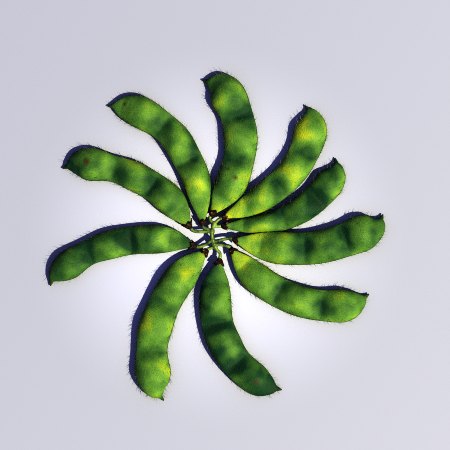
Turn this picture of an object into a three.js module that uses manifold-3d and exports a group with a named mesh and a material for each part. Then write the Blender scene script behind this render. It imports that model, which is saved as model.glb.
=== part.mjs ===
// A branch of edamame, laid flat: ten downy soybean pods that fan out like a pinwheel from one short stalk.
// Every pod swells over three beans, curls the same way round and ends in a small beak. It grows out of a
// dry, five-lobed calyx, and a thin pedicel ties that to the stalk in the middle.
// Millimetres, +Z up. The origin is under the middle of the footprint, on the surface that the pods lie on.
import * as THREE from "three";
import { mergeVertices } from "three/addons/utils/BufferGeometryUtils.js";
import Module from "manifold-3d";

const wasm = await Module();
wasm.setup();

// Driving dimensions
const HUB = [-1.35, 0.11]; // where the middle of the stalk stands, from the middle of the footprint
const POD_HOLLOW = 0.85; // share of the thickness lost between two beans
const HOLLOW_SHARPNESS = 1.9; // the higher, the flatter the beans' tops and the steeper the hollows' sides
const HOLLOW_ROUNDING = 0.1; // of the crease between two beans, which 0 would leave sharp
const BEAN_STEEPNESS = 1.5; // above 1 a bean fades out toward the two seams
const STALK_END_RADIUS = 0.7; // of a pod's neck, where the calyx holds it
const NECK_FILLING = 0.15; // share of a pod's length over which its neck thickens
const TIP_ROUNDING = 0.185; // share of a pod's length over which its tip closes
const TIP_FULLNESS = 0.85; // 0.5 would close the tip in an ellipse, 1 in a parabola
const BEAK_LENGTH = 1.4;
const BEAK_RADII = [0.75, 0.2]; // at its root and at its point
const TIP_DROOP = 0.6; // share of the half thickness that the point sinks below the rest of the seam
const SUTURE_RIDGE = 0.22; // how far the seam stands out along both edges
const PRESSED_FLAT = 0.3; // how much of the lowest bean is flat where it rests

const CALYX = { foot: -0.9, floor: -0.25, waist: 0.8, lobes: 2, notch: 0.9 }; // along the pod's neck
const CALYX_GAP = 0.2; // between the calyx and the neck that it holds
const CALYX_WALL = 0.6;
const LOBE_COUNT = 5;

const STALK_RADIUS = 0.75;
const STALK_KNOT = 1.05; // radius of the swellings that the pedicels leave from
const PEDICEL_RADIUS = 0.6;
const PEDICEL_GAP = 0.2; // between a pedicel's end and the foot of its calyx

const POD_FACETS = { around: 16, along: 32 };
const CALYX_FACETS = 15;
const STEM_FACETS = { around: 7, along: 7 };

// One entry for each pod, clockwise from the top. spine runs from the stalk to the beak, in millimetres
// from the hub. beans gives the three beans' places along the pod, as shares of its length, and width the
// pod's width over each. neck is the share of the length over which the pod first widens. waist is how far
// the outline draws in between the beans. thick is the thickness over a bean. leaves is the place along the
// stalk, from 0 at its head to 1 at its foot, that the pedicel leaves from, and bow the length of the
// pedicel's two bends.
const PODS = [
  {
    spine: [
      [-0.7, 8.9], [2.8, 14.3], [7.3, 22], [10.2, 32.8],
      [9.8, 43.6], [6.3, 53], [2, 58.4], [-4.3, 60.7],
    ],
    beans: [0.25, 0.52, 0.8], width: [12, 12.6, 13.5], neck: 0.26, waist: [0.06, 0.08], thick: 7.2,
    leaves: 0.05, bow: [1.2, 1.6],
  },
  {
    spine: [
      [3.9, 7.8], [12.1, 11.4], [21.5, 17.2], [30.2, 25.1],
      [35.6, 34.4], [37.6, 42.4], [37.3, 47.9], [35.4, 50.9],
    ],
    beans: [0.28, 0.53, 0.82], width: [10.2, 10.9, 12.6], neck: 0.32, waist: [0, 0.05], thick: 6.6,
    leaves: 0, bow: [1.6, 1.8],
  },
  {
    spine: [
      [3.8, 4.3], [14.2, 4.7], [26.4, 6.9], [37.7, 13.5],
      [45.2, 21.7], [47.4, 26.6], [47, 30.6],
    ],
    beans: [0.27, 0.55, 0.81], width: [6.8, 10, 11], neck: 0.3, waist: [0, 0.03], thick: 5.9,
    leaves: 0.1, bow: [0.8, 0.8],
  },
  {
    spine: [
      [8, -0.8], [15, -2.5], [25.6, -4.1], [38.5, -4.1],
      [50, -1.3], [60, 2.9], [63.8, 5.4], [65.5, 8.8],
    ],
    beans: [0.3, 0.58, 0.82], width: [12.2, 12.4, 13.8], neck: 0.3, waist: [0.02, 0.04], thick: 7.4,
    leaves: 0.75, bow: [2.4, 1.8],
  },
  {
    spine: [
      [6.9, -4.8], [11, -9.9], [17.1, -16.1], [27.1, -22.2],
      [38.3, -25.8], [49.3, -26.4], [56, -24.6], [60.1, -22],
    ],
    beans: [0.26, 0.54, 0.82], width: [11.2, 11.7, 12.5], neck: 0.26, waist: [0.02, 0.05], thick: 6.9,
    leaves: 0.85, bow: [2.2, 1.6],
  },
  {
    spine: [
      [2.3, -9], [1.3, -15.4], [0.6, -24.4], [2.1, -35.7],
      [7.7, -46.8], [15.8, -54.6], [21.9, -57.9], [26.4, -59],
    ],
    beans: [0.26, 0.52, 0.81], width: [11.9, 12.5, 11.6], neck: 0.25, waist: [0.03, 0.05], thick: 6.9,
    leaves: 0.95, bow: [3.2, 3.2],
  },
  {
    spine: [
      [-2.9, -5.3], [-8.5, -10.7], [-14.7, -18.3], [-19.7, -27.4],
      [-23.3, -38.4], [-23.7, -48.6], [-22.3, -58.4], [-19.3, -63.2],
    ],
    beans: [0.27, 0.54, 0.83], width: [12.1, 12.6, 13.7], neck: 0.24, waist: [0.04, 0.12], thick: 7.4,
    leaves: 0.98, bow: [0.8, 0.8],
  },
  {
    spine: [
      [-7.5, -3.4], [-15.2, -1.3], [-25.2, -0.8], [-37.2, -2.2],
      [-48, -5.9], [-56.8, -11.3], [-61.8, -15.6], [-63.2, -18.8],
    ],
    beans: [0.28, 0.52, 0.83], width: [10.7, 10.7, 11], neck: 0.26, waist: [0.03, 0.15], thick: 6.2,
    leaves: 0.7, bow: [1.8, 2.2],
  },
  {
    spine: [
      [-9.3, 4.1], [-12.9, 9.5], [-18.3, 15.7], [-25.9, 21.1], [-34.1, 25],
      [-42.8, 27.4], [-50.6, 28.4], [-55.4, 27.7], [-58.4, 26.5],
    ],
    beans: [0.25, 0.49, 0.8], width: [11.2, 11, 12.3], neck: 0.24, waist: [0.04, 0.16], thick: 6.7,
    leaves: 0.35, bow: [3, 2.4],
  },
  {
    spine: [
      [-4.3, 5.3], [-5, 13], [-6.8, 22.6], [-11, 31.7], [-15.7, 39.2],
      [-21.8, 44.4], [-29.7, 48.8], [-37.9, 50.5], [-41, 50.6],
    ],
    beans: [0.27, 0.5, 0.78], width: [10.6, 11.3, 11.9], neck: 0.3, waist: [0.01, 0.1], thick: 6.6,
    leaves: 0.3, bow: [1.2, 1],
  },
];

// The stalk's own line, from its head to its cut foot, as [x, y, height]
const STALK = [[0.2, 5.2, 3.4], [-0.6, 2.4, 3.8], [-0.4, -0.6, 3.7], [0.6, -3.9, 3.2]];

const UP = new THREE.Vector3(0, 0, 1);
const mix = THREE.MathUtils.lerp;
const clamp = THREE.MathUtils.clamp;

// Where t falls among the beans: the one before it, the one after it, and its share of the way between.
function amongBeans(beans, t) {
  const next = beans.findIndex((bean) => bean > t);
  if (next < 0) return [beans.length - 1, beans.length - 1, 0];
  if (next === 0) return [0, 0, 0];
  return [next - 1, next, (t - beans[next - 1]) / (beans[next] - beans[next - 1])];
}

// How deep the skin lies between the beans: 0 over the middle of a bean, 1 halfway to the next one.
function hollowAt(beans, t) {
  const spaces = [beans[1] - beans[0], beans[2] - beans[1]];
  const reaches = [spaces[0], ...spaces, spaces[1]];
  const away = beans.map((bean, k) => (2 * Math.abs(t - bean)) / reaches[t > bean ? k + 1 : k]);
  const left = 1 - Math.min(...away, 1);
  return Math.max(0, (1 - Math.hypot(left, HOLLOW_ROUNDING)) / (1 - HOLLOW_ROUNDING));
}

// A pod's line and, at any distance from its stalk end, its half width, its half thickness where there is
// no bean, how far a bean swells it out, and the seam's height.
function shapeOf({ spine, beans, width, neck, waist, thick }) {
  const line = new THREE.SplineCurve(spine.map(([x, y]) => new THREE.Vector2(x, y)));
  const length = line.getLength();
  const closing = (t, from) => Math.max(0, 1 - clamp((t - from) / (1 - from), 0, 1) ** 2);
  const height = thick / 2 - PRESSED_FLAT; // of the seam above the surface, as far as the last bean
  return {
    length,
    height,
    at(distance) {
      const t = distance / length;
      const u = clamp(t, 0, 1);
      const tangent = line.getTangentAt(u);
      const place = line.getPointAt(u).addScaledVector(tangent, distance - u * length);
      const body = u / (1 - BEAK_LENGTH / length); // reaches 1 at the root of the beak
      const [before, after, share] = amongBeans(beans, u);
      const dip = 0.5 - 0.5 * Math.cos(2 * Math.PI * share);
      const fullWidth = mix(width[before], width[after], share) * (1 - (waist[before] ?? 0) * dip);
      const opening = Math.sin((Math.PI / 2) * clamp(u / neck, 0, 1));
      const halfWidth = (fullWidth / 2) * closing(body, 1 - TIP_ROUNDING) ** TIP_FULLNESS;
      const thinning = closing(body, beans[2]) ** 0.5;
      const filling = Math.sin((Math.PI / 2) * clamp(u / NECK_FILLING, 0, 1)) * thinning;
      const bulge = (1 - hollowAt(beans, u) ** HOLLOW_SHARPNESS) * thinning;
      const beak = mix(...BEAK_RADII, clamp((distance - length) / BEAK_LENGTH + 1, 0, 1));
      const least = distance > length / 2 ? beak : STALK_END_RADIUS;
      return {
        place,
        tangent,
        half: Math.max(least, mix(STALK_END_RADIUS, halfWidth, opening)),
        wall: Math.max(least, (thick / 2) * (1 - POD_HOLLOW) * filling),
        swelling: (thick / 2) * POD_HOLLOW * bulge,
        seam: height - (thick / 2) * TIP_DROOP * (1 - thinning),
      };
    },
  };
}

// The point of a pod's skin at a distance along it and an angle round it, moved out by a given amount.
// Angle 0 is the seam on the outer side of the curl, and a quarter turn is the top.
function skinPoint(shape, distance, angle, out = 0, radius = null) {
  const { place, tangent, half, wall, swelling, seam } = shape.at(distance);
  const across = Math.cos(angle);
  const rise = Math.sin(angle);
  const bean = swelling * Math.sign(rise) * Math.abs(rise) ** BEAN_STEEPNESS;
  const side = (radius ?? half) * across;
  const lift = radius === null ? wall * rise + bean : radius * rise;
  const outer = new THREE.Vector2(tangent.y, -tangent.x); // away from the curl's centre
  return new THREE.Vector3(
    place.x + outer.x * (side + out * across),
    place.y + outer.y * (side + out * across),
    seam + lift + out * rise,
  );
}

// A closed cylinder whose every vertex is put where bend says, from its share of the height, its angle and
// its share of the radius.
function bentCylinder({ around, along }, bend) {
  const geometry = new THREE.CylinderGeometry(1, 1, 1, around, along);
  const position = geometry.getAttribute("position");
  for (let i = 0; i < position.count; i++) {
    const angle = Math.atan2(-position.getX(i), position.getZ(i));
    const radius = Math.hypot(position.getX(i), position.getZ(i));
    position.setXYZ(i, ...bend(position.getY(i) + 0.5, angle, radius));
  }
  return geometry;
}

// A manifold-3d solid of a closed three.js geometry, and back.
function solidOf(geometry) {
  const bare = geometry.clone().deleteAttribute("normal").deleteAttribute("uv");
  const merged = mergeVertices(bare, 1e-4);
  return new wasm.Manifold(
    new wasm.Mesh({
      numProp: 3,
      vertProperties: merged.attributes.position.array,
      triVerts: new Uint32Array(merged.index.array),
    }),
  );
}

function geometryOf(solid) {
  const { vertProperties, triVerts } = solid.getMesh();
  const geometry = new THREE.BufferGeometry();
  geometry.setAttribute("position", new THREE.BufferAttribute(new Float32Array(vertProperties), 3));
  geometry.setIndex(new THREE.BufferAttribute(new Uint32Array(triVerts), 1));
  geometry.computeVertexNormals();
  return geometry;
}

// Everything below the surface that the branch lies on.
function underground() {
  const size = 400;
  return solidOf(new THREE.BoxGeometry(size, size, size).translate(0, 0, -size / 2));
}

// A pod, with the underside of its beans cut flat where they press on the surface.
function podSolid(shape) {
  const crowding = 0.5; // rings stand closer together at both ends
  const geometry = bentCylinder(POD_FACETS, (share, angle, radius) => {
    const eased = share - (crowding * Math.sin(2 * Math.PI * share)) / (2 * Math.PI);
    const distance = eased * shape.length;
    if (radius < 0.5) {
      const { place, seam } = shape.at(distance);
      return [place.x, place.y, seam];
    }
    const edge = Math.abs(Math.cos(angle)) ** 40;
    const grown = clamp(Math.min(distance - 3, shape.length - 2 - distance) / 4, 0, 1);
    return skinPoint(shape, distance, angle, SUTURE_RIDGE * edge * grown).toArray();
  });
  return solidOf(geometry).subtract(underground());
}

// The calyx: a small cup round the pod's neck, cut into five pointed lobes.
function calyxSolid(shape) {
  const outside = CALYX_GAP + CALYX_WALL;
  // Each ring is [distance along the neck, distance out from the skin, radius where no skin is followed]
  const rings = [
    [CALYX.foot, 0, 0],
    [CALYX.foot, 0, PEDICEL_RADIUS],
    [CALYX.foot / 2, 0, STALK_END_RADIUS + 0.35],
    [CALYX.waist * 0.3, outside, null],
    [CALYX.waist, outside, null],
    [CALYX.lobes, outside * 0.8, null],
    [CALYX.lobes, CALYX_GAP, null],
    [CALYX.waist, CALYX_GAP, null],
    [CALYX.floor, 0, STALK_END_RADIUS + CALYX_GAP],
    [CALYX.floor, 0, 0],
  ];
  const profile = rings.map((_, i) => new THREE.Vector2(i && i < rings.length - 1 ? 1 : 0, i));
  const geometry = new THREE.LatheGeometry(profile, CALYX_FACETS);
  const position = geometry.getAttribute("position");
  for (let i = 0; i < position.count; i++) {
    const [along, out, radius] = rings[Math.round(position.getY(i))];
    const angle = Math.atan2(-position.getX(i), position.getZ(i));
    const lobe = 0.5 + 0.5 * Math.cos(LOBE_COUNT * angle);
    const distance = along === CALYX.lobes ? mix(CALYX.notch, CALYX.lobes, lobe) : along;
    position.setXYZ(i, ...skinPoint(shape, distance, angle, out, radius));
  }
  return solidOf(geometry);
}

// A round stem along a curve, whose radius changes with the share of its length.
function stemSolid(curve, radiusAt, facets = STEM_FACETS) {
  return solidOf(
    bentCylinder(facets, (share, angle, radius) => {
      const tangent = curve.getTangentAt(share);
      const side = new THREE.Vector3().crossVectors(tangent, UP).normalize();
      const over = new THREE.Vector3().crossVectors(side, tangent);
      return curve
        .getPointAt(share)
        .addScaledVector(side, Math.cos(angle) * radius * radiusAt(share))
        .addScaledVector(over, Math.sin(angle) * radius * radiusAt(share))
        .toArray();
    }),
  );
}

// The pedicel's curve, from the stalk to the foot of one calyx.
function pedicelCurve(stalk, { leaves, bow }, shape) {
  const { place, tangent } = shape.at(CALYX.foot - PEDICEL_GAP);
  const end = new THREE.Vector3(place.x, place.y, shape.height);
  const start = stalk.getPointAt(leaves);
  const away = new THREE.Vector3().subVectors(end, start).setZ(0).normalize();
  const into = new THREE.Vector3(tangent.x, tangent.y, 0);
  const first = start.clone().addScaledVector(away, bow[0]);
  const second = end.clone().addScaledVector(into, -bow[1]);
  return new THREE.CubicBezierCurve3(start, first, second, end);
}

// The stalk with its ten pedicels, grown as one piece: a stem with a swelling where each pedicel leaves.
function stalkSolid(shapes) {
  const line = new THREE.CatmullRomCurve3(STALK.map((point) => new THREE.Vector3(...point)));
  const stem = stemSolid(line, (share) => STALK_RADIUS * mix(0.85, 1.1, share));
  return PODS.reduce((grown, pod, i) => {
    const flare = (share) => PEDICEL_RADIUS * (1 + 0.25 * (2 * share - 1) ** 4);
    const pedicel = stemSolid(pedicelCurve(line, pod, shapes[i]), flare);
    const at = line.getPointAt(pod.leaves);
    const knot = solidOf(new THREE.SphereGeometry(STALK_KNOT, 8, 6).translate(at.x, at.y, at.z));
    return grown.add(pedicel).add(knot);
  }, stem);
}

const POD_SKIN = new THREE.MeshStandardMaterial({ color: "#4f9a1e", roughness: 0.55, metalness: 0 });
const DRY_CALYX = new THREE.MeshStandardMaterial({ color: "#5a3a1c", roughness: 0.85, metalness: 0 });
const GREEN_STEM = new THREE.MeshStandardMaterial({ color: "#8fae4a", roughness: 0.65, metalness: 0 });

const branch = new THREE.Group();
branch.position.set(HUB[0], HUB[1], 0);

function place(name, solid, material) {
  const mesh = new THREE.Mesh(geometryOf(solid), material);
  mesh.name = name;
  branch.add(mesh);
}

const shapes = PODS.map(shapeOf);
shapes.forEach((shape, i) => {
  const number = String(i + 1).padStart(2, "0");
  place(`pod_${number}`, podSolid(shape), POD_SKIN);
  place(`calyx_${number}`, calyxSolid(shape), DRY_CALYX);
});
place("stalk", stalkSolid(shapes), GREEN_STEM);

export default branch;
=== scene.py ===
# %% [markdown]
# # A branch of edamame, laid flat
# Ten downy soybean pods fan out from one short stalk. The plain solids of the pods, their dry calyces and the
# stalk come packed in a frame. This lesson puts the finished pieces in their places: the same pods with their
# seams and fine relief, ragged brown calyces, a grown-together stalk, and the down that covers the pods.

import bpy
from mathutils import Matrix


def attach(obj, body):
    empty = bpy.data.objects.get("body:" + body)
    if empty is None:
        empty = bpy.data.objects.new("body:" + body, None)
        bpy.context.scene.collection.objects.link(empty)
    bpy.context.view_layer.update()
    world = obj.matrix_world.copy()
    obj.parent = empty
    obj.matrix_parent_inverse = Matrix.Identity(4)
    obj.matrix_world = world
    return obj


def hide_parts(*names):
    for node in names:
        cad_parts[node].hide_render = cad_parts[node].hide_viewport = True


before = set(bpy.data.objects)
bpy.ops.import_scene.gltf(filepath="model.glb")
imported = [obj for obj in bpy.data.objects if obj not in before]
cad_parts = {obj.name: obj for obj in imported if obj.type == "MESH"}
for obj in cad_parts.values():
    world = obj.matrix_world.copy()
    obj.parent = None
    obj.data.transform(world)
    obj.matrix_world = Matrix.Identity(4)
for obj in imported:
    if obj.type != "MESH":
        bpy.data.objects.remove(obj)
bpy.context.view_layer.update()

# %% Tools
import math

import bpy
import numpy as np
from mathutils import Vector, noise

MM = 0.001


def linear(hex_colour, alpha=1.0):
    """An sRGB hex colour as the linear numbers that Blender's sockets take."""
    values = [int(hex_colour[i : i + 2], 16) / 255 for i in (1, 3, 5)]
    return [v / 12.92 if v <= 0.04045 else ((v + 0.055) / 1.055) ** 2.4 for v in values] + [alpha]


def add(tree, kind, inputs=None, **settings):
    """A node with its settings, each of its inputs set to a value or linked from an output."""
    node = tree.nodes.new(kind)
    for name, value in settings.items():
        setattr(node, name, value)
    for socket, value in (inputs or {}).items():
        if isinstance(value, bpy.types.NodeSocket):
            tree.links.new(value, node.inputs[socket])
        else:
            node.inputs[socket].default_value = value
    return node


def blank_material(name):
    """A material with no shader yet, its nodes, and the coordinates of the object that wears it."""
    material = bpy.data.materials.new(name)
    material.use_nodes = True
    material.node_tree.nodes.clear()
    place = add(material.node_tree, "ShaderNodeTexCoord").outputs["Object"]
    return material, material.node_tree, place


def smooth_mesh(name, vertices, faces, material):
    """An object in the scene, with smooth faces, at the origin. Vertices are in millimetres."""
    mesh = bpy.data.meshes.new(name)
    mesh.from_pydata([tuple(v) for v in np.asarray(vertices) * MM], [], faces)
    mesh.shade_smooth()
    mesh.materials.append(material)
    piece = bpy.data.objects.new(name, mesh)
    bpy.context.scene.collection.objects.link(piece)
    return piece


# %% [markdown]
# ## The pods' shape
# A soybean pod is two thin halves joined by a seam along each edge. It swells where a bean lies and draws in
# between. A loft says that best: a line along the pod, and at every place on it a lens-shaped ring whose
# width and thickness follow the beans. These are the sizes that the solids were made from, with slightly
# fuller flanks and far more rings.

# %% Sizes
# In millimetres, or shares where it says so
HUB = np.array([-1.35, 0.11])  # the middle of the stalk, from the middle of the footprint
POD_HOLLOW = 0.85  # share of the thickness lost between two beans
HOLLOW_SHARPNESS = 1.9  # the higher, the flatter the beans' tops and the steeper the hollows' sides
HOLLOW_ROUNDING = 0.1  # of the crease between two beans, which 0 would leave sharp
BEAN_STEEPNESS = 1.3  # above 1 a bean fades out toward the two seams
STALK_END_RADIUS = 0.7  # of a pod's neck, where the calyx holds it
NECK_FILLING = 0.15  # share of a pod's length over which its neck thickens
TIP_ROUNDING = 0.185  # share of a pod's length over which its tip closes
TIP_FULLNESS = 0.85  # 0.5 would close the tip in an ellipse, 1 in a parabola
TIP_DROOP = 0.6  # share of the half thickness that the point sinks below the rest of the seam
BEAK_LENGTH = 1.4
BEAK_RADII = (0.75, 0.2)  # at its root and at its point
PRESSED_FLAT = 0.3  # how far the underside of a bean is pressed in where it rests
STEP = 0.2  # either side of a place on a line, to see which way the line runs there

# Clockwise from the top: the pod's line from the stalk to the beak, from the hub; where its beans are, how
# wide it is over each, the share of its length that the neck takes, how far it draws in between the beans,
# and how thick it is; then where its pedicel leaves the stalk, and the pedicel's two bends.
PODS = [
    dict(
        spine=[(-0.7, 8.9), (2.8, 14.3), (7.3, 22), (10.2, 32.8), (9.8, 43.6), (6.3, 53), (2, 58.4),
               (-4.3, 60.7)],
        beans=(0.25, 0.52, 0.8), width=(12, 12.6, 13.5), neck=0.26, waist=(0.06, 0.08), thick=7.2,
        leaves=0.05, bow=(1.2, 1.6),
    ),
    dict(
        spine=[(3.9, 7.8), (12.1, 11.4), (21.5, 17.2), (30.2, 25.1), (35.6, 34.4), (37.6, 42.4), (37.3, 47.9),
               (35.4, 50.9)],
        beans=(0.28, 0.53, 0.82), width=(10.2, 10.9, 12.6), neck=0.32, waist=(0, 0.05), thick=6.6,
        leaves=0, bow=(1.6, 1.8),
    ),
    dict(
        spine=[(3.8, 4.3), (14.2, 4.7), (26.4, 6.9), (37.7, 13.5), (45.2, 21.7), (47.4, 26.6), (47, 30.6)],
        beans=(0.27, 0.55, 0.81), width=(6.8, 10, 11), neck=0.3, waist=(0, 0.03), thick=5.9,
        leaves=0.1, bow=(0.8, 0.8),
    ),
    dict(
        spine=[(8, -0.8), (15, -2.5), (25.6, -4.1), (38.5, -4.1), (50, -1.3), (60, 2.9), (63.8, 5.4),
               (65.5, 8.8)],
        beans=(0.3, 0.58, 0.82), width=(12.2, 12.4, 13.8), neck=0.3, waist=(0.02, 0.04), thick=7.4,
        leaves=0.75, bow=(2.4, 1.8),
    ),
    dict(
        spine=[(6.9, -4.8), (11, -9.9), (17.1, -16.1), (27.1, -22.2), (38.3, -25.8), (49.3, -26.4),
               (56, -24.6), (60.1, -22)],
        beans=(0.26, 0.54, 0.82), width=(11.2, 11.7, 12.5), neck=0.26, waist=(0.02, 0.05), thick=6.9,
        leaves=0.85, bow=(2.2, 1.6),
    ),
    dict(
        spine=[(2.3, -9), (1.3, -15.4), (0.6, -24.4), (2.1, -35.7), (7.7, -46.8), (15.8, -54.6),
               (21.9, -57.9), (26.4, -59)],
        beans=(0.26, 0.52, 0.81), width=(11.9, 12.5, 11.6), neck=0.25, waist=(0.03, 0.05), thick=6.9,
        leaves=0.95, bow=(3.2, 3.2),
    ),
    dict(
        spine=[(-2.9, -5.3), (-8.5, -10.7), (-14.7, -18.3), (-19.7, -27.4), (-23.3, -38.4), (-23.7, -48.6),
               (-22.3, -58.4), (-19.3, -63.2)],
        beans=(0.27, 0.54, 0.83), width=(12.1, 12.6, 13.7), neck=0.24, waist=(0.04, 0.12), thick=7.4,
        leaves=0.98, bow=(0.8, 0.8),
    ),
    dict(
        spine=[(-7.5, -3.4), (-15.2, -1.3), (-25.2, -0.8), (-37.2, -2.2), (-48, -5.9), (-56.8, -11.3),
               (-61.8, -15.6), (-63.2, -18.8)],
        beans=(0.28, 0.52, 0.83), width=(10.7, 10.7, 11), neck=0.26, waist=(0.03, 0.15), thick=6.2,
        leaves=0.7, bow=(1.8, 2.2),
    ),
    dict(
        spine=[(-9.3, 4.1), (-12.9, 9.5), (-18.3, 15.7), (-25.9, 21.1), (-34.1, 25), (-42.8, 27.4),
               (-50.6, 28.4), (-55.4, 27.7), (-58.4, 26.5)],
        beans=(0.25, 0.49, 0.8), width=(11.2, 11, 12.3), neck=0.24, waist=(0.04, 0.16), thick=6.7,
        leaves=0.35, bow=(3, 2.4),
    ),
    dict(
        spine=[(-4.3, 5.3), (-5, 13), (-6.8, 22.6), (-11, 31.7), (-15.7, 39.2), (-21.8, 44.4), (-29.7, 48.8),
               (-37.9, 50.5), (-41, 50.6)],
        beans=(0.27, 0.5, 0.78), width=(10.6, 11.3, 11.9), neck=0.3, waist=(0.01, 0.1), thick=6.6,
        leaves=0.3, bow=(1.2, 1),
    ),
]
NAMES = [f"{number:02d}" for number in range(1, len(PODS) + 1)]
print("pods:", len(PODS))


# %% A pod's line and its rings
def curve_through(points, steps=80):
    """A smooth curve through points, as close samples and their distances from its start."""
    points = np.array(points, float)
    padded = np.vstack([points[:1], points, points[-1:]])
    samples = [points[0]]
    for before, start, end, after in zip(padded, padded[1:], padded[2:], padded[3:]):
        for t in np.linspace(0, 1, steps + 1)[1:]:
            leave, arrive = (end - before) / 2, (after - start) / 2
            samples.append(
                (2 * start - 2 * end + leave + arrive) * t**3
                + (3 * end - 3 * start - 2 * leave - arrive) * t**2
                + leave * t
                + start
            )
    samples = np.array(samples)
    distances = np.concatenate([[0], np.cumsum(np.linalg.norm(np.diff(samples, axis=0), axis=1))])
    return samples, distances


class Pod:
    """A pod's line, and the rings of its skin at any distance from its stalk end, in millimetres."""

    def __init__(self, spine, beans, width, neck, waist, thick, leaves, bow):
        self.samples, self.distances = curve_through(np.array(spine) + HUB)
        self.length = self.distances[-1]
        self.beans, self.width, self.neck, self.waist, self.thick = beans, width, neck, waist, thick
        self.leaves, self.bow = leaves, bow
        self.height = thick / 2 - PRESSED_FLAT

    def place(self, distance):
        """The point of the line at a distance, and which way the line runs there."""
        inside = min(max(distance, 0), self.length)
        near = np.clip([inside, inside - STEP, inside + STEP], 0, self.length)
        coordinates = [np.interp(near, self.distances, self.samples[:, k]) for k in (0, 1)]
        at, before, after = np.stack(coordinates, axis=1)
        tangent = (after - before) / np.linalg.norm(after - before)
        return at + tangent * (distance - inside), tangent

    def ring(self, distance):
        """A ring's half width, its half thickness with no bean in it, how far a bean swells it out beyond
        that, and how high its seam is."""
        u = min(max(distance / self.length, 0), 1)
        body = u / (1 - BEAK_LENGTH / self.length)
        # Between which two beans this is, and how far from the one to the other
        before = min(sum(u > bean for bean in self.beans[1:]), 1)
        spaces = np.diff(self.beans)
        share = min(max((u - self.beans[before]) / spaces[before], 0), 1)
        waist = self.waist[before] * (0.5 - 0.5 * math.cos(2 * math.pi * share))
        full = (self.width[before] * (1 - share) + self.width[before + 1] * share) * (1 - waist)

        def closing(start):
            """1 up to a place on the body, and from there down to 0 at the beak."""
            return max(0, 1 - min(max((body - start) / (1 - start), 0), 1) ** 2)

        opening = math.sin(math.pi / 2 * min(u / self.neck, 1))
        half = full / 2 * closing(1 - TIP_ROUNDING) ** TIP_FULLNESS
        wall = self.thick / 2 * (1 - POD_HOLLOW) * math.sin(math.pi / 2 * min(u / NECK_FILLING, 1))
        # How far the nearest bean is: 0 over its middle, 1 halfway to the next one
        reach = (spaces[0], *spaces, spaces[1])
        near = min(abs(u - bean) / reach[k + (u > bean)] * 2 for k, bean in enumerate(self.beans))
        hollow = max(0, (1 - math.hypot(1 - min(near, 1), HOLLOW_ROUNDING)) / (1 - HOLLOW_ROUNDING))
        closed = closing(self.beans[2]) ** 0.5  # 1 up to the last bean, 0 at the point
        swelling = self.thick / 2 * POD_HOLLOW * (1 - hollow**HOLLOW_SHARPNESS) * closed
        to_point = min(max((distance - self.length) / BEAK_LENGTH + 1, 0), 1)
        beak = BEAK_RADII[0] * (1 - to_point) + BEAK_RADII[1] * to_point
        least = beak if distance > self.length / 2 else STALK_END_RADIUS
        return (
            max(least, STALK_END_RADIUS * (1 - opening) + half * opening),
            max(least, wall * closed),
            swelling,
            self.height - TIP_DROOP * self.thick / 2 * (1 - closed),
        )

    def skin(self, distance, angle, out=0.0, radius=None):
        """Points of the skin at one distance. Angle 0 is the seam outside the curl, a quarter turn is the
        top. Out lifts the points off the skin. With a radius the ring is round, whatever the skin does."""
        at, tangent = self.place(distance)
        half, wall, swelling, height = self.ring(distance)
        across, rise = np.cos(angle), np.sin(angle)
        side = (half if radius is None else radius) * across + out * across
        bean = swelling * np.sign(rise) * np.abs(rise) ** BEAN_STEEPNESS
        lift = wall * rise + bean if radius is None else radius * rise
        return np.stack(
            [at[0] + tangent[1] * side, at[1] - tangent[0] * side, height + lift + out * rise], axis=-1
        )


pods = [Pod(**sizes) for sizes in PODS]
print("pod lengths in mm:", [round(pod.length) for pod in pods])

# %% [markdown]
# ## Fresh pod skin
# The skin of a fresh pod is a thin waxy leaf, and light goes a little way into it. It is yellow-green where
# it is stretched over a bean and deeper green in the hollows, partly its own green and partly painted shade,
# and darker green toward the beak. Fine veins run through it. Each ring writes how deep its hollow is, and
# the material mixes its greens from that.

# %% The skin's material
MID_GREEN, YELLOW_GREEN, DEEP_GREEN = "#5A7B46", "#9EA630", "#234836"
# The hollow green is partly the skin's own deeper green and partly painted shade; the seam green is painted
# shade along the edges, and darkens the beak too
SHADED_HOLLOW_GREEN, SEAM_SHADE_AND_BEAK_GREEN, BRUISE_BROWN = "#243C30", "#30442E", "#4A3428"
PATCH_SIZE = 8.0 * MM  # of the cloudy patches of lighter and darker green
PATCHINESS = 0.52  # how much a patch adds to the ripeness
HOLLOW_AND_TIP_DARKENING = 0.16  # how much the hollow mark takes from the yellowness: painted shade in the hollows, and the tip's darker green
VEIN_SIZE = 0.9 * MM  # between the veins of the skin
STROKE_WIDTH, STROKE_LENGTH = 0.3 * MM, 1.5 * MM  # marks of the pressed hairs, drawn coarse so that they show
STROKE_HEIGHT = 1.6  # for a vein's height of 1


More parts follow.
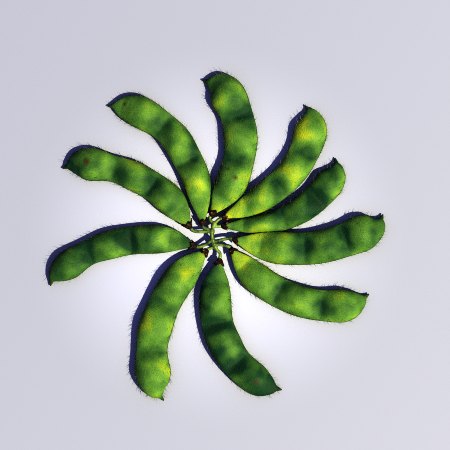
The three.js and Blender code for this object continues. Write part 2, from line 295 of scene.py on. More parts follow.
def pod_skin_material():
    """Waxy leaf, grown: satin, with a little light inside it, and faint strokes where hairs lie pressed."""
    material, tree, place = blank_material("waxy_fresh_pod_skin")
    mark = {
        name: add(tree, "ShaderNodeAttribute", attribute_name=name).outputs["Fac"]
        for name in ("hollow", "seam", "tone", "bruise", "beak")
    }
    along = add(tree, "ShaderNodeUVMap", uv_map="skin").outputs["UV"]
    patches = add(tree, "ShaderNodeTexNoise", {
        "Vector": place, "Scale": 1 / PATCH_SIZE, "Detail": 1.5, "Roughness": 0.45,
    }).outputs["Fac"]
    strokes_at = add(tree, "ShaderNodeMapping", {
        "Vector": along, "Scale": (1 / STROKE_WIDTH, 1 / STROKE_LENGTH, 1),
    }).outputs["Vector"]
    strokes = add(tree, "ShaderNodeTexNoise", {
        "Vector": strokes_at, "Scale": 1.0, "Detail": 2.0, "Roughness": 0.6,
    }).outputs["Fac"]
    # How much yellow there is: the patches, the pod's own ripeness, less in a hollow, where it is painted
    # shade, and less toward the tip
    yellowness = add(tree, "ShaderNodeMath", {0: patches, 1: PATCHINESS, 2: mark["tone"]}, operation="MULTIPLY_ADD")
    yellowness = add(tree, "ShaderNodeMath", {
        0: mark["hollow"], 1: -HOLLOW_AND_TIP_DARKENING, 2: yellowness.outputs[0],
    }, operation="MULTIPLY_ADD").outputs[0]
    # From the darkest green, painted shade in a hollow, to the yellow of a ripe bean
    ramp = add(tree, "ShaderNodeValToRGB", {"Fac": yellowness})
    ramp.color_ramp.elements[0].position, ramp.color_ramp.elements[0].color = 0.0, linear(SHADED_HOLLOW_GREEN)
    ramp.color_ramp.elements[1].position, ramp.color_ramp.elements[1].color = 0.65, linear(YELLOW_GREEN)
    for position, colour in ((0.2, DEEP_GREEN), (0.4, MID_GREEN)):
        ramp.color_ramp.elements.new(position).color = linear(colour)
    stroke_shade = add(tree, "ShaderNodeMapRange", {
        "Value": strokes, "From Min": 0.3, "From Max": 0.7, "To Min": 0.88, "To Max": 1.08,
    }).outputs["Result"]
    shaded = add(tree, "ShaderNodeVectorMath", {
        0: ramp.outputs["Color"], "Scale": stroke_shade,
    }, operation="SCALE").outputs["Vector"]
    # The sockets 6 and 7 of a mixing node are its two colours, and its output 2 is the mixed one
    # Painted shade: a dark line along both seams, and the beak's darker green
    edged = add(tree, "ShaderNodeMath", {0: mark["seam"], 1: mark["beak"]}, operation="MAXIMUM").outputs[0]
    seam_shaded = add(tree, "ShaderNodeMix", {"Factor": edged, 6: shaded, 7: linear(SEAM_SHADE_AND_BEAK_GREEN)}, data_type="RGBA")
    spoiled = add(tree, "ShaderNodeMix", {
        "Factor": mark["bruise"], 6: seam_shaded.outputs[2], 7: linear(BRUISE_BROWN),
    }, data_type="RGBA").outputs[2]
    veins = add(tree, "ShaderNodeTexVoronoi", {
        "Vector": place, "Scale": 1 / VEIN_SIZE,
    }, feature="DISTANCE_TO_EDGE").outputs["Distance"]
    vein_height = add(tree, "ShaderNodeMapRange", {
        "Value": veins, "From Max": 0.15, "To Min": 1.0, "To Max": 0.0,
    }).outputs["Result"]
    height = add(tree, "ShaderNodeMath", {
        0: strokes, 1: STROKE_HEIGHT, 2: vein_height,
    }, operation="MULTIPLY_ADD").outputs[0]
    relief = add(tree, "ShaderNodeBump", {"Height": height, "Strength": 0.4, "Distance": 0.1 * MM})
    skin = add(tree, "ShaderNodeBsdfPrincipled", {
        "Base Color": spoiled,
        "Normal": relief.outputs["Normal"],
        "Roughness": 0.62,
        "IOR": 1.4,
        "Specular IOR Level": 0.3,
        "Subsurface Weight": 0.06,
        "Subsurface Radius": (0.7, 1.6, 0.25),
        "Subsurface Scale": 1.0 * MM,
    })
    add(tree, "ShaderNodeOutputMaterial", {"Surface": skin.outputs[0]})
    return material


POD_SKIN = pod_skin_material()
print("material:", POD_SKIN.name)

# %% [markdown]
# ## Lofting the pods
# Each pod becomes a grid of quads wrapped round its line. The seam stands out as a narrow ridge on both
# edges, and noise lifts the skin by a few hundredths of a millimetre so that it isn't dead smooth. Where a
# bean presses on the table the skin is flat.

# %% Spots and tones
# How ripe each pod is: the higher, the yellower
TONES = [0.115, 0.175, 0.085, 0.115, 0.115, 0.015, 0.145, 0.035, 0.095, 0.115]
# Small brown spots: the pod, the share of its length, how far across (-1 the inner seam, 1 the outer), and
# the radius in millimetres
BRUISES = [
    (0, 0.27, 0.1, 1.1), (0, 0.31, -0.5, 0.7), (5, 0.83, 0.1, 1.3), (8, 0.83, 0.15, 1.9), (8, 0.9, -0.2, 0.8),
    (7, 0.34, -0.85, 0.5), (9, 0.9, 0.3, 1.0), (6, 0.16, 0.6, 0.5),
]


def bruised(pod, index, distance, turns):
    """How brown the skin is round one ring: 0 where it is sound."""
    spot = np.zeros(len(turns))
    for which, at, across, radius in BRUISES:
        if which == index:
            gap = np.hypot(distance - at * pod.length, (np.cos(turns) - across) * pod.ring(distance)[0])
            spot = np.maximum(spot, np.where(np.sin(turns) > 0, 1 - gap / radius, 0))
    return spot


print("brown spots:", len(BRUISES))

# %% One ring of skin
SEAM_RIDGE = 0.24  # how far the seam stands out, in millimetres
RIDGE_NARROWNESS, LINE_NARROWNESS, FRINGE_NARROWNESS = 90, 110, 5  # of the seam, its dark line of painted shade and its hairs
SEAM_FREE, SEAM_GROWTH = (3, 2), 4  # millimetres without a ridge at the two ends, and over which it grows
WRINKLES = ((0.07, 0.9), (0.03, 2.6))  # millimetres high, and how many to a millimetre
HOLLOW_SPREAD = 0.4  # the lower, the farther a hollow's painted shade reaches down the sides
TIP_DEPTH, TIP_SLOPE = 0.7, 1.5  # how deep green the tip is, and how late that begins
BEAK_REACH, BEAK_SHADE = 4, 1.3  # millimetres of tip that are darkened with the beak, and how much


def skin_ring(index, pod, distance, turns):
    """The points of one ring, with seam and wrinkles, and what each tells the material and the down."""
    edge, top = np.abs(np.cos(turns)), np.sin(turns)
    from_ends = min(distance - SEAM_FREE[0], pod.length - SEAM_FREE[1] - distance)
    grown = min(max(from_ends / SEAM_GROWTH, 0), 1)
    points = pod.skin(distance, turns, SEAM_RIDGE * edge**RIDGE_NARROWNESS * grown)
    wrinkle = [sum(high * noise.noise(Vector(p) * often) for high, often in WRINKLES) for p in points]
    points[:, 2] = np.maximum(points[:, 2] + np.array(wrinkle) * grown * top, 0)
    between = pod.beans[0] < distance / pod.length < pod.beans[2]
    depth = (1 - pod.ring(distance)[2] / (pod.thick / 2 * POD_HOLLOW)) * between
    tipward = max(distance / pod.length - pod.beans[2], 0) / (1 - pod.beans[2])
    at_beak = min(max((distance - pod.length) / BEAK_REACH + 1, 0), 1)
    return points, {
        # painted shade in the creases between the beans, partly the skin's own deeper green, plus a darker
        # tip
        "hollow": depth * np.abs(top) ** HOLLOW_SPREAD + TIP_DEPTH * min(tipward, 1) ** TIP_SLOPE,
        # painted shade: a dark line along both edges of the pod
        "seam": edge**LINE_NARROWNESS * grown,
        "fringe": edge**FRINGE_NARROWNESS,
        "bruise": bruised(pod, index, distance, turns),
        "beak": np.full(len(turns), at_beak**2 * BEAK_SHADE),
    }


print("marks of a ring:", ", ".join(skin_ring(0, pods[0], 10, np.zeros(1))[1]))

# %% The faces that every pod has
AROUND, ALONG = 56, 150
ROWS, COLUMNS = np.divmod(np.arange(ALONG * AROUND), AROUND)
corner, beside = ROWS * AROUND + COLUMNS, ROWS * AROUND + (COLUMNS + 1) % AROUND
POD_FACES = np.stack([corner, corner + AROUND, beside + AROUND, beside], axis=1).tolist()
# One more vertex closes each end
stalk_end, last_ring = (ALONG + 1) * AROUND, ALONG * AROUND
for k in range(AROUND):
    POD_FACES.append((stalk_end, k, (k + 1) % AROUND))
    POD_FACES.append((stalk_end + 1, last_ring + (k + 1) % AROUND, last_ring + k))
print("faces of a pod:", len(POD_FACES))

# %% The pods' meshes
CROWDING = 0.5  # of the rings toward both ends, where the shape changes fastest: 0 spaces them evenly


def pod_piece(index, pod):
    """A pod's skin as one closed mesh, with its marks, the way its hairs are combed and a map of its skin."""
    turns = np.arange(AROUND) * 2 * math.pi / AROUND
    shares = np.linspace(0, 1, ALONG + 1)
    distances = pod.length * (shares - CROWDING * np.sin(2 * math.pi * shares) / (2 * math.pi))
    rings = [skin_ring(index, pod, distance, turns) for distance in distances]
    ends = [(*pod.place(distance)[0], pod.ring(distance)[3]) for distance in (0, pod.length)]
    vertices = np.vstack([points for points, _ in rings] + [ends])
    piece = smooth_mesh(f"pod_{NAMES[index]}_skin", vertices, POD_FACES, POD_SKIN)
    mesh = piece.data
    marks = {
        name: np.concatenate([found[name] for _, found in rings] + [[0, name == "beak"]])
        for name in rings[0][1]
    }
    marks["tone"] = np.full(len(vertices), TONES[index])
    for name, values in marks.items():
        mesh.attributes.new(name, "FLOAT", "POINT").data.foreach_set("value", values.astype(np.float32))
    tangents = [(*pod.place(distance)[1], 0.0) for distance in (*distances, 0, pod.length)]
    combed = np.repeat(np.array(tangents, np.float32), [AROUND] * (ALONG + 1) + [1, 1], axis=0)
    mesh.attributes.new("combed", "FLOAT_VECTOR", "POINT").data.foreach_set("vector", combed.ravel())
    # The map runs round the skin and along it, both in metres, so that patterns keep their real size
    across = np.stack([COLUMNS, COLUMNS, COLUMNS + 1, COLUMNS + 1], axis=1) * turns[1] * max(pod.width) / 2
    along = distances[np.stack([ROWS, ROWS + 1, ROWS + 1, ROWS], axis=1)]
    corners = np.zeros((len(mesh.loops), 2), np.float32)
    corners[: across.size] = np.stack([across.ravel(), along.ravel()], axis=1) * MM
    mesh.uv_layers.new(name="skin").data.foreach_set("uv", corners.ravel())
    return piece


skins = [pod_piece(index, pod) for index, pod in enumerate(pods)]
print("skins:", len(skins))

# %% [markdown]
# ## The down
# Soybean pods are hairy. Every hair is a stiff bristle, one or two millimetres long, that leans toward the
# tip. There are many, so Geometry Nodes plant them: points are scattered over the skin, each gets a
# three-sided cone turned to the skin's own direction and leaned along the pod, and the cones are then bent a
# little.

# %% The hairs' material
HAIR_DARK, HAIR_PALE = "#3A4634", "#5E6A54"
CLUMP_SIZE = 1.5 * MM


def hair_material():
    """Plant hair: dry, dull and grey-green, darkest in the clumps."""
    material, tree, place = blank_material("grey_green_plant_hair")
    clouds = add(tree, "ShaderNodeTexNoise", {"Vector": place, "Scale": 1 / CLUMP_SIZE, "Detail": 1.0})
    ramp = add(tree, "ShaderNodeValToRGB", {"Fac": clouds.outputs["Fac"]})
    ramp.color_ramp.elements[0].position, ramp.color_ramp.elements[0].color = 0.35, linear(HAIR_DARK)
    ramp.color_ramp.elements[1].position, ramp.color_ramp.elements[1].color = 0.65, linear(HAIR_PALE)
    hair = add(tree, "ShaderNodeBsdfPrincipled", {
        "Base Color": ramp.outputs["Color"], "Roughness": 0.5, "IOR": 1.5,
    })
    add(tree, "ShaderNodeOutputMaterial", {"Surface": hair.outputs[0]})
    return material


PLANT_HAIR = hair_material()
print("material:", PLANT_HAIR.name)

# %% The hair tree
HAIR_LENGTH = 1.9 * MM  # of the longest
HAIR_RADIUS = 0.07 * MM  # at the root: about three times the real one, which is too fine to show
HAIRS_PER_MM2 = 0.36  # away from the seams, and far fewer than on a real pod
FRINGE_CROWD = 1.5  # how much denser they are on the seams: 1 would double them
SHORTEST, LONGEST = 0.55, 1.0  # shares of the length that chance gives a hair
FACE_SHARE = 0.42  # of its length that a hair keeps away from the seams
RUFFLE = 0.35  # how far chance turns a hair aside, against its own direction of 1
ABOVE_TABLE = 0.03 * MM


def hair_tree():
    """The tree that covers a pod's skin with down."""
    tree = bpy.data.node_groups.new("down_on_a_pod", "GeometryNodeTree")
    face = tree.interface
    face.new_socket("Geometry", in_out="INPUT", socket_type="NodeSocketGeometry")
    for name, value in (
        ("Hairs per m2", HAIRS_PER_MM2 / MM**2), ("Length", HAIR_LENGTH), ("Root radius", HAIR_RADIUS),
        ("Lean", 0.7), ("Bend", 0.35), ("Lowest root", 1.1 * MM),
    ):
        face.new_socket(name, in_out="INPUT", socket_type="NodeSocketFloat").default_value = value
    face.new_socket("Seed", in_out="INPUT", socket_type="NodeSocketInt")
    face.new_socket("Material", in_out="INPUT", socket_type="NodeSocketMaterial")
    face.new_socket("Geometry", in_out="OUTPUT", socket_type="NodeSocketGeometry")
    given = add(tree, "NodeGroupInput").outputs
    where = add(tree, "GeometryNodeInputPosition").outputs[0]
    height = add(tree, "ShaderNodeSeparateXYZ", {0: where}).outputs["Z"]
    above = add(tree, "FunctionNodeCompare", {0: height, 1: given["Lowest root"]}, operation="GREATER_THAN")
    # They are densest and longest on the seams, where the two halves of the pod meet
    fringe = add(tree, "GeometryNodeInputNamedAttribute", {"Name": "fringe"}, data_type="FLOAT")
    fringe = fringe.outputs["Attribute"]
    crowd = add(tree, "ShaderNodeMath", {0: fringe, 1: FRINGE_CROWD, 2: 1.0}, operation="MULTIPLY_ADD")
    density = add(tree, "ShaderNodeMath", {
        0: given["Hairs per m2"], 1: crowd.outputs[0],
    }, operation="MULTIPLY").outputs[0]
    points = add(tree, "GeometryNodeDistributePointsOnFaces", {
        "Mesh": given["Geometry"], "Selection": above.outputs[0], "Density": density, "Seed": given["Seed"],
    })
    # One hair: a cone with an open root, which remembers how far up each of its points is
    one = add(tree, "GeometryNodeMeshCone", {
        "Vertices": 3, "Side Segments": 2, "Radius Top": 0.0, "Radius Bottom": given["Root radius"],
        "Depth": given["Length"],
    }, fill_type="NONE")
    on_cone = add(tree, "GeometryNodeInputPosition").outputs[0]
    up = add(tree, "ShaderNodeSeparateXYZ", {0: on_cone}).outputs["Z"]
    up = add(tree, "ShaderNodeMath", {0: up, 1: given["Length"]}, operation="DIVIDE").outputs[0]
    one = add(tree, "GeometryNodeStoreNamedAttribute", {
        "Geometry": one.outputs["Mesh"], "Name": "up_the_hair", "Value": up,
    }, data_type="FLOAT", domain="POINT").outputs["Geometry"]
    combed = add(tree, "GeometryNodeInputNamedAttribute", {"Name": "combed"}, data_type="FLOAT_VECTOR")
    leaned = add(tree, "ShaderNodeVectorMath", {
        0: combed.outputs["Attribute"], "Scale": given["Lean"],
    }, operation="SCALE").outputs["Vector"]
    leaned = add(tree, "ShaderNodeVectorMath", {0: leaned, 1: points.outputs["Normal"]}, operation="ADD")
    ruffled = add(tree, "FunctionNodeRandomValue", {
        "Min": (-RUFFLE,) * 3, "Max": (RUFFLE,) * 3, "Seed": 11,
    }, data_type="FLOAT_VECTOR").outputs["Value"]
    toward = add(tree, "ShaderNodeVectorMath", {0: leaned.outputs["Vector"], 1: ruffled}, operation="ADD")
    turned = add(tree, "FunctionNodeAlignRotationToVector", {"Vector": toward.outputs["Vector"]}, axis="Z")
    sizes = add(tree, "FunctionNodeRandomValue", {2: SHORTEST, 3: LONGEST, "Seed": 5}, data_type="FLOAT")
    kept = add(tree, "ShaderNodeMath", {
        0: fringe, 1: 1 - FACE_SHARE, 2: FACE_SHARE,
    }, operation="MULTIPLY_ADD")
    sizes = add(tree, "ShaderNodeMath", {0: sizes.outputs[1], 1: kept.outputs[0]}, operation="MULTIPLY")
    planted = add(tree, "GeometryNodeInstanceOnPoints", {
        "Points": points.outputs["Points"], "Instance": one, "Rotation": turned.outputs[0],
        "Scale": sizes.outputs[0],
    }).outputs["Instances"]
    real = add(tree, "GeometryNodeRealizeInstances", {"Geometry": planted}).outputs["Geometry"]
    # The tip of each hair bends on toward the pod's tip
    share = add(tree, "GeometryNodeInputNamedAttribute", {"Name": "up_the_hair"}, data_type="FLOAT")
    bend = add(tree, "ShaderNodeMath", {0: share.outputs["Attribute"], 1: 2.0}, operation="POWER").outputs[0]
    for factor in (given["Bend"], given["Length"]):
        bend = add(tree, "ShaderNodeMath", {0: bend, 1: factor}, operation="MULTIPLY").outputs[0]
    offset = add(tree, "ShaderNodeVectorMath", {
        0: combed.outputs["Attribute"], "Scale": bend,
    }, operation="SCALE")
    bent = add(tree, "GeometryNodeSetPosition", {"Geometry": real, "Offset": offset.outputs["Vector"]})
    # Hairs that would pass through the table lie flat on it
    spot = add(tree, "ShaderNodeSeparateXYZ", {0: add(tree, "GeometryNodeInputPosition").outputs[0]}).outputs
    lifted = add(tree, "ShaderNodeMath", {0: spot["Z"], 1: ABOVE_TABLE}, operation="MAXIMUM").outputs[0]
    laid = add(tree, "ShaderNodeCombineXYZ", {"X": spot["X"], "Y": spot["Y"], "Z": lifted}).outputs[0]
    rested = add(tree, "GeometryNodeSetPosition", {"Geometry": bent.outputs[0], "Position": laid})
    dressed = add(tree, "GeometryNodeSetMaterial", {
        "Geometry": rested.outputs[0], "Material": given["Material"],
    })
    add(tree, "NodeGroupOutput", {0: dressed.outputs[0]})
    return tree


DOWN = hair_tree()
print("nodes in the hair tree:", len(DOWN.nodes))


# %% Planting the down
def grown_by(tree, source, name, material, **values):
    """The mesh that a Geometry Nodes tree makes of an object's mesh, as a plain object of its own."""
    bare = source.copy()
    bare.data = source.data.copy()
    bpy.context.scene.collection.objects.link(bare)
    grower = bare.modifiers.new("grown", "NODES")
    grower.node_group = tree
    sockets = {item.name: item.identifier for item in tree.interface.items_tree if item.in_out == "INPUT"}
    for key, value in values.items():
        grower[sockets[key]] = value
    grower[sockets["Material"]] = material
    bpy.context.view_layer.update()
    mesh = bpy.data.meshes.new_from_object(bare.evaluated_get(bpy.context.evaluated_depsgraph_get()))
    bare.modifiers.remove(grower)
    bpy.data.objects.remove(bare)
    mesh.name = name
    piece = bpy.data.objects.new(name, mesh)
    bpy.context.scene.collection.objects.link(piece)
    return piece


downs = [
    grown_by(DOWN, skin, f"pod_{NAMES[index]}_down", PLANT_HAIR, Seed=index + 3)
    for index, skin in enumerate(skins)
]
print("hair faces on each pod:", [len(down.data.polygons) for down in downs])

# %% [markdown]
# ## Dry calyces
# The calyx is what is left of the flower: a small cup of five pointed lobes. By the time the pod is ripe it
# has dried to brown and its lobes have shrivelled. It is a lathe in spirit, but it follows the neck of a pod
# that isn't round, so its rings are set off from the pod's own skin.

# %% The calyx's material
CALYX_BLACK, CALYX_BROWN, CALYX_STRAW = "#1B1513", "#2C2422", "#87704A"
MOTTLE_SIZE, CRUMPLE_SIZE = 1.1 * MM, 0.35 * MM


def dry_material():
    """Dried leaf: matt, brittle, from dark brown to near black, with straw-coloured flecks."""
    material, tree, place = blank_material("dried_calyx_leaf")
    mottle = add(tree, "ShaderNodeTexNoise", {"Vector": place, "Scale": 1 / MOTTLE_SIZE, "Detail": 5.0})
    ramp = add(tree, "ShaderNodeValToRGB", {"Fac": mottle.outputs["Fac"]})
    ramp.color_ramp.elements[0].position, ramp.color_ramp.elements[0].color = 0.42, linear(CALYX_BLACK)
    ramp.color_ramp.elements[1].position, ramp.color_ramp.elements[1].color = 0.72, linear(CALYX_STRAW)
    ramp.color_ramp.elements.new(0.57).color = linear(CALYX_BROWN)
    crumple = add(tree, "ShaderNodeTexNoise", {"Vector": place, "Scale": 1 / CRUMPLE_SIZE, "Detail": 3.0})
    relief = add(tree, "ShaderNodeBump", {
        "Height": crumple.outputs["Fac"], "Strength": 0.7, "Distance": 0.1 * MM,
    })
    leaf = add(tree, "ShaderNodeBsdfPrincipled", {
        "Base Color": ramp.outputs["Color"], "Normal": relief.outputs["Normal"],
        "Roughness": 0.8, "IOR": 1.45,
    })
    add(tree, "ShaderNodeOutputMaterial", {"Surface": leaf.outputs[0]})
    return material


DRY_CALYX = dry_material()
print("material:", DRY_CALYX.name)

# %% The calyces' meshes
# In millimetres, and places are distances along the pod's neck
CALYX_GAP, CALYX_WALL = 0.12, 0.45  # from the pod's skin, and how thick the calyx is
PEDICEL_RADIUS = 0.6
LOBES, CALYX_AROUND = 5, 60
LOBE_ROOT = 0.85  # where the lobes part
LOBE_TIP, LOBE_CHANCE = 1.9, 0.9  # where they end, and how much longer or shorter chance makes one
LOBE_FULLNESS = 0.9  # 1 makes a lobe a plain triangle
CURL_START, CURL = 1.2, 0.35  # where a lobe begins to curl off the pod, and how steeply
LIP_THICKENING = 1.15  # of the lobes' edge
CRUMPLE = 0.12  # how far chance moves each point
noise.seed_set(1)  # for noise_vector, which would crumple the calyces differently in each run without it
CALYX_RINGS = [  # distance along the neck, distance out from the skin, radius where it follows no skin
    (-0.9, 0, 0.0), (-0.9, 0, 0.3), (-0.88, 0, PEDICEL_RADIUS), (-0.7, 0, 0.78), (-0.4, 0, 1.02),
    (-0.1, 0, 1.2), (0.3, CALYX_GAP + CALYX_WALL, None), (0.7, CALYX_GAP + CALYX_WALL, None),
    ("lobe", (CALYX_GAP + CALYX_WALL) * LIP_THICKENING, None), ("lobe", CALYX_GAP, None),
    (0.7, CALYX_GAP, None), (0.2, CALYX_GAP, None), (-0.25, 0, 0.84), (-0.25, 0, 0.0),
]


def calyx_piece(index, pod):
    """A calyx as one closed mesh of rings round a pod's neck, outside first and then inside."""
    chances = [noise.noise(Vector((index * 3.1, lobe * 1.7, 0.5))) for lobe in range(LOBES)]
    lobe_ends = [LOBE_TIP + LOBE_CHANCE * chance for chance in chances]
    vertices, faces = [], []
    for along, out, radius in CALYX_RINGS:
        for k in range(CALYX_AROUND):
            angle = 2 * math.pi * k / CALYX_AROUND
            turn = LOBES * k / CALYX_AROUND
            which = int(turn + 0.5) % LOBES
            from_middle = abs(turn - round(turn)) * 2
            if along == "lobe":
                distance = LOBE_ROOT + (lobe_ends[which] - LOBE_ROOT) * (1 - from_middle) ** LOBE_FULLNESS
                chance = 0.5 + noise.noise(Vector((index, which * 2.3, 0.2)))
                curl = CURL * max(0, distance - CURL_START) * chance
                point = pod.skin(distance, angle, out + max(0, curl))
            else:
                point = pod.skin(along, angle, out, radius)
            if out or (radius or 0) > PEDICEL_RADIUS:
                point = point + CRUMPLE * np.array(noise.noise_vector(Vector(point) * 1.3))
            vertices.append(point)
    for ring in range(len(CALYX_RINGS) - 1):
        for k in range(CALYX_AROUND):
            a, b = ring * CALYX_AROUND + k, ring * CALYX_AROUND + (k + 1) % CALYX_AROUND
            faces.append((a, a + CALYX_AROUND, b + CALYX_AROUND, b))
    return smooth_mesh(f"calyx_{NAMES[index]}_dried", vertices, faces, DRY_CALYX)


calyces = [calyx_piece(index, pod) for index, pod in enumerate(pods)]
print("calyx faces:", len(calyces[0].data.polygons))

# %% [markdown]
# ## The stalk and its pedicels
# Thin green stems run from each calyx to the stalk in the middle, and all of it is one growth. Each stem
# follows a path, so Geometry Nodes sweep a circle along it. A voxel remesh then grows the stems together at
# the knots, which no amount of overlapping tubes would show.

# %% The stems' material
STEM_DARK, STEM_PALE = "#32492F", "#68804C"
CLOUD_SIZE, RIB_SIZE = 3.0 * MM, 0.3 * MM


def stem_material():
    """Green stem: soft, waxy and uneven, like the pods but a little paler."""
    material, tree, place = blank_material("waxy_green_stem")
    clouds = add(tree, "ShaderNodeTexNoise", {"Vector": place, "Scale": 1 / CLOUD_SIZE, "Detail": 3.0})
    ramp = add(tree, "ShaderNodeValToRGB", {"Fac": clouds.outputs["Fac"]})
    ramp.color_ramp.elements[0].position, ramp.color_ramp.elements[0].color = 0.36, linear(STEM_DARK)
    ramp.color_ramp.elements[1].position, ramp.color_ramp.elements[1].color = 0.62, linear(STEM_PALE)
    ribs = add(tree, "ShaderNodeTexNoise", {"Vector": place, "Scale": 1 / RIB_SIZE, "Detail": 2.0})
    relief = add(tree, "ShaderNodeBump", {
        "Height": ribs.outputs["Fac"], "Strength": 0.4, "Distance": 0.08 * MM,
    })
    stem = add(tree, "ShaderNodeBsdfPrincipled", {
        "Base Color": ramp.outputs["Color"], "Normal": relief.outputs["Normal"],
        "Roughness": 0.5, "IOR": 1.43,
        "Subsurface Weight": 0.15, "Subsurface Radius": (0.6, 1.2, 0.3), "Subsurface Scale": 1.0 * MM,
    })
    add(tree, "ShaderNodeOutputMaterial", {"Surface": stem.outputs[0]})
    return material


GREEN_STEM = stem_material()
print("material:", GREEN_STEM.name)


# %% The stem tree
def stem_tree():
    """The tree that sweeps a round stem along a path of edges, as thick as each point of it says."""
    tree = bpy.data.node_groups.new("stem_along_a_path", "GeometryNodeTree")
    tree.interface.new_socket("Geometry", in_out="INPUT", socket_type="NodeSocketGeometry")
    tree.interface.new_socket("Sides", in_out="INPUT", socket_type="NodeSocketInt").default_value = 20
    tree.interface.new_socket("Material", in_out="INPUT", socket_type="NodeSocketMaterial")
    tree.interface.new_socket("Geometry", in_out="OUTPUT", socket_type="NodeSocketGeometry")
    given = add(tree, "NodeGroupInput").outputs
    path = add(tree, "GeometryNodeMeshToCurve", {"Mesh": given["Geometry"]}).outputs["Curve"]
    thick = add(tree, "GeometryNodeInputNamedAttribute", {"Name": "thick"}, data_type="FLOAT")
    circle = add(tree, "GeometryNodeCurvePrimitiveCircle", {"Resolution": given["Sides"], "Radius": 1.0})
    swept = add(tree, "GeometryNodeCurveToMesh", {
        "Curve": path, "Profile Curve": circle.outputs["Curve"], "Scale": thick.outputs["Attribute"],
        "Fill Caps": True,
    })
    real = add(tree, "GeometryNodeRealizeInstances", {"Geometry": swept.outputs["Mesh"]})
    dressed = add(tree, "GeometryNodeSetMaterial", {
        "Geometry": real.outputs[0], "Material": given["Material"],
    })
    add(tree, "NodeGroupOutput", {0: dressed.outputs[0]})
    return tree


STEMS = stem_tree()
print("nodes in the stem tree:", len(STEMS.nodes))


# %% The stalk's paths
# In millimetres
STALK = [(0.2, 5.2, 3.4), (-0.6, 2.4, 3.8), (-0.4, -0.6, 3.7), (0.6, -3.9, 3.2)]  # its line, from the hub
STALK_RADIUS, STALK_KNOT = 0.75, 1.05  # of the stalk, and of the knots that the pedicels leave from
PEDICEL_END = -0.95  # along the pod's line: at the foot of the calyx
PEDICEL_FLARE = 0.25  # how much thicker a pedicel is at its two ends, as a share
STALK_STEPS, PEDICEL_STEPS, KNOT_STEPS = 40, 24, 9  # points of a path
KNOT_SHARE = 0.98  # of a knot's height that its path takes: its two ends stay open enough to be swept


def bezier(points, steps=PEDICEL_STEPS):
    """Points of a curve that leaves the first point toward the second and reaches the last from the third."""
    first, leaving, coming, last = np.array(points, float)
    return [
        (1 - t) ** 3 * first + 3 * (1 - t) ** 2 * t * leaving + 3 * (1 - t) * t**2 * coming + t**3 * last
        for t in np.linspace(0, 1, steps)
    ]


stalk_line, stalk_distances = curve_through(np.array(STALK) + np.array([*HUB, 0]))


def on_stalk(share):
    """The point at a share of the stalk's length."""
    at = share * stalk_distances[-1]
    return np.array([np.interp(at, stalk_distances, stalk_line[:, k]) for k in range(3)])


# Each path is its points and the radius at each of them. The stalk's radius waves and grows toward its foot
shares = np.linspace(0, 1, STALK_STEPS)
paths = [([on_stalk(t) for t in shares],
          [STALK_RADIUS * (0.85 + 0.25 * t + 0.12 * math.sin(17 * t)) for t in shares])]
heights = np.linspace(-1, 1, KNOT_STEPS)  # on a knot, which is a ball: 1 is its top
for pod in pods:
    foot, tangent = pod.place(PEDICEL_END)
    end = np.array([*foot, pod.height])
    start = on_stalk(pod.leaves)
    away = (end - start) * (1, 1, 0)
    into = np.array([*tangent, 0])
    line = bezier([start, start + away / np.linalg.norm(away) * pod.bow[0], end - into * pod.bow[1], end])
    flares = [1 + PEDICEL_FLARE * (2 * t - 1) ** 4 for t in np.linspace(0, 1, len(line))]
    paths.append((line, [PEDICEL_RADIUS * flare for flare in flares]))
    knot = [start + np.array([0, 0, h]) for h in heights * STALK_KNOT * KNOT_SHARE]
    paths.append((knot, [STALK_KNOT * math.sqrt(1 - h * h) for h in heights * KNOT_SHARE]))
print("paths:", len(paths))

# %% Sweeping and growing together
VOXEL = 0.14 * MM
RELAXING = (0.5, 4)  # how strongly the remeshed skin is smoothed, and how often
vertices, edges, thick = [], [], []
for line, radii in paths:
    first = len(vertices)
    vertices += [tuple(np.asarray(point) * MM) for point in line]
    edges += [(first + k, first + k + 1) for k in range(len(line) - 1)]
    thick += [radius * MM for radius in radii]
wire = bpy.data.meshes.new("stem_paths")
wire.from_pydata(vertices, edges, [])
wire.attributes.new("thick", "FLOAT", "POINT").data.foreach_set("value", np.array(thick, np.float32))
wires = bpy.data.objects.new("stem_paths", wire)
bpy.context.scene.collection.objects.link(wires)
stalk = grown_by(STEMS, wires, "stalk_grown", GREEN_STEM)
bpy.data.objects.remove(wires)
remesh = stalk.modifiers.new("grown_together", "REMESH")
remesh.mode, remesh.voxel_size = "VOXEL", VOXEL
relax = stalk.modifiers.new("relaxed", "SMOOTH")
relax.factor, relax.iterations = RELAXING
bpy.context.view_layer.update()
grown = bpy.data.meshes.new_from_object(stalk.evaluated_get(bpy.context.evaluated_depsgraph_get()))
stalk.modifiers.clear()
stalk.data = grown
grown.name = "stalk_grown"
grown.materials.clear()
grown.materials.append(GREEN_STEM)
grown.shade_smooth()
print("stalk faces:", len(grown.polygons))

# %% [markdown]
# ## Putting the pieces on the frame
# Every finished piece rides on the one body and stands for its solid.

# %% Riding and replacing
for number, skin, down, calyx in zip(NAMES, skins, downs, calyces):
    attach(skin, "root")
    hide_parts(f"pod_{number}")
    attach(down, "root")
    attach(calyx, "root")
    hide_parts(f"calyx_{number}")
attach(stalk, "root")
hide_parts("stalk")
print("pieces:", 3 * len(pods) + 1)
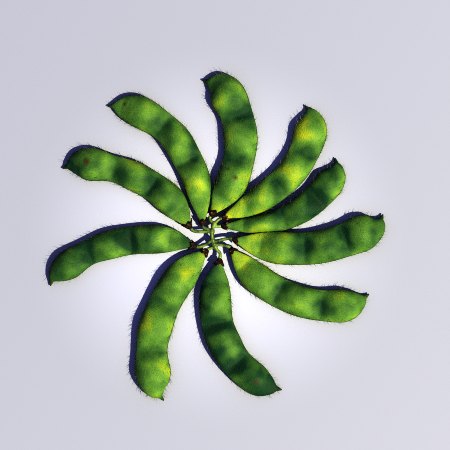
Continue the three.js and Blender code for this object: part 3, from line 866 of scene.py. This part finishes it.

# %% [markdown]
# ## Table, light and camera
# The branch lies on a pale table, painted paler under the branch as a pool of light. One small softbox stands
# at the lower right, half way up the sky, and gives the shadows, and a faint blue-violet sky fills them. The
# camera looks straight down, as in the photograph.

# %% The table
TABLE_SIDE = 6.0  # metres
TABLE_DROP = 0.05 * MM  # below the part, so that the two surfaces don't fight
TABLE_PAINTED_LIGHT_PALE, TABLE_GREY = "#949FB5", "#808A9B"  # painted paler under the branch as a pool of light, and greyer away from it
FADE_START, FADE_END = 10 * MM, 78 * MM  # of the painted pool of light, from the middle
reach = TABLE_SIDE / 2
corners = [(-reach, -reach, 0), (reach, -reach, 0), (reach, reach, 0), (-reach, reach, 0)]
floor_mesh = bpy.data.meshes.new("table_top")
floor_mesh.from_pydata(corners, [], [(0, 1, 2, 3)])
floor = bpy.data.objects.new("table_top", floor_mesh)
floor.location.z = -TABLE_DROP
bpy.context.scene.collection.objects.link(floor)
table_material, tree, place = blank_material("matt_pale_table_with_painted_light")  # matt, so that it shows no reflection of the branch
# A painted pool of light: the table is paler near the branch and greyer away from it
far = add(tree, "ShaderNodeVectorMath", {0: place}, operation="LENGTH").outputs["Value"]
painted_light_falloff = add(tree, "ShaderNodeMapRange", {
    "Value": far, "From Min": FADE_START, "From Max": FADE_END,
}, interpolation_type="SMOOTHSTEP").outputs["Result"]
tint = add(tree, "ShaderNodeMix", {
    "Factor": painted_light_falloff, 6: linear(TABLE_PAINTED_LIGHT_PALE), 7: linear(TABLE_GREY),
}, data_type="RGBA").outputs[2]
matt = add(tree, "ShaderNodeBsdfPrincipled", {
    "Base Color": tint, "Roughness": 0.9, "Specular IOR Level": 0.1,
})
add(tree, "ShaderNodeOutputMaterial", {"Surface": matt.outputs[0]})
floor_mesh.materials.append(table_material)
print("table side in m:", TABLE_SIDE)

# %% The light
SOFTBOX_COLOUR, SKY_COLOUR = "#FFECC0", "#948CAA"
SOFTBOX_WIDTH, SOFTBOX_WATTS = 0.12, 186.0  # metres across, small enough for crisp shadows
AZIMUTH, ELEVATION, AWAY = math.radians(-31), math.radians(52), 3.0  # where it stands, from the branch
SKY_STRENGTH = 1.55
key = bpy.data.lights.new("softbox", "AREA")
key.shape, key.size, key.energy = "DISK", SOFTBOX_WIDTH, SOFTBOX_WATTS
key.color = linear(SOFTBOX_COLOUR)[:3]
softbox = bpy.data.objects.new("softbox", key)
softbox.location = (
    AWAY * math.cos(ELEVATION) * math.cos(AZIMUTH),
    AWAY * math.cos(ELEVATION) * math.sin(AZIMUTH),
    AWAY * math.sin(ELEVATION),
)
softbox.rotation_euler = Vector(softbox.location).to_track_quat("Z", "Y").to_euler()
bpy.context.scene.collection.objects.link(softbox)
world = bpy.data.worlds.new("sky")
world.use_nodes = True
world.node_tree.nodes.clear()
sky = add(world.node_tree, "ShaderNodeBackground", {"Color": linear(SKY_COLOUR), "Strength": SKY_STRENGTH})
add(world.node_tree, "ShaderNodeOutputWorld", {"Surface": sky.outputs[0]})
bpy.context.scene.world = world
print("softbox in mm:", [round(v / MM) for v in softbox.location])

# %% The camera
MM_PER_PIXEL = 0.385  # a three-bean pod of 55 to 65 millimetres gives this scale
PICTURE = 450  # pixels to a side
AIM = (3.05 * MM, 4.82 * MM, 4 * MM)  # the middle of the picture, about as high as the pods' edges
camera_data = bpy.data.cameras.new("camera")
camera_data.lens = 135  # long, so that the picture has little perspective
camera_data.clip_start, camera_data.clip_end = 0.01, 20
camera = bpy.data.objects.new("camera", camera_data)
distance = PICTURE * MM_PER_PIXEL * MM * camera_data.lens / camera_data.sensor_width
camera.location = (AIM[0], AIM[1], distance + AIM[2])
bpy.context.scene.collection.objects.link(camera)
bpy.context.scene.camera = camera
print("camera height in mm:", round(camera.location.z * 1000))

# %% The picture's contrast
BRIGHTEST_SAMPLE = 1.5  # above anything that is lit here: it stops single stray white pixels
view, cycles = bpy.context.scene.view_settings, bpy.context.scene.cycles
view.view_transform, view.look, view.gamma = "Standard", "Very High Contrast", 0.75
# The hairs are finer than a pixel: a denoiser would wipe them away, and a narrow filter keeps them crisp
cycles.use_denoising = False
cycles.filter_width = 1.0
cycles.sample_clamp_direct = cycles.sample_clamp_indirect = BRIGHTEST_SAMPLE
print("look:", view.look)
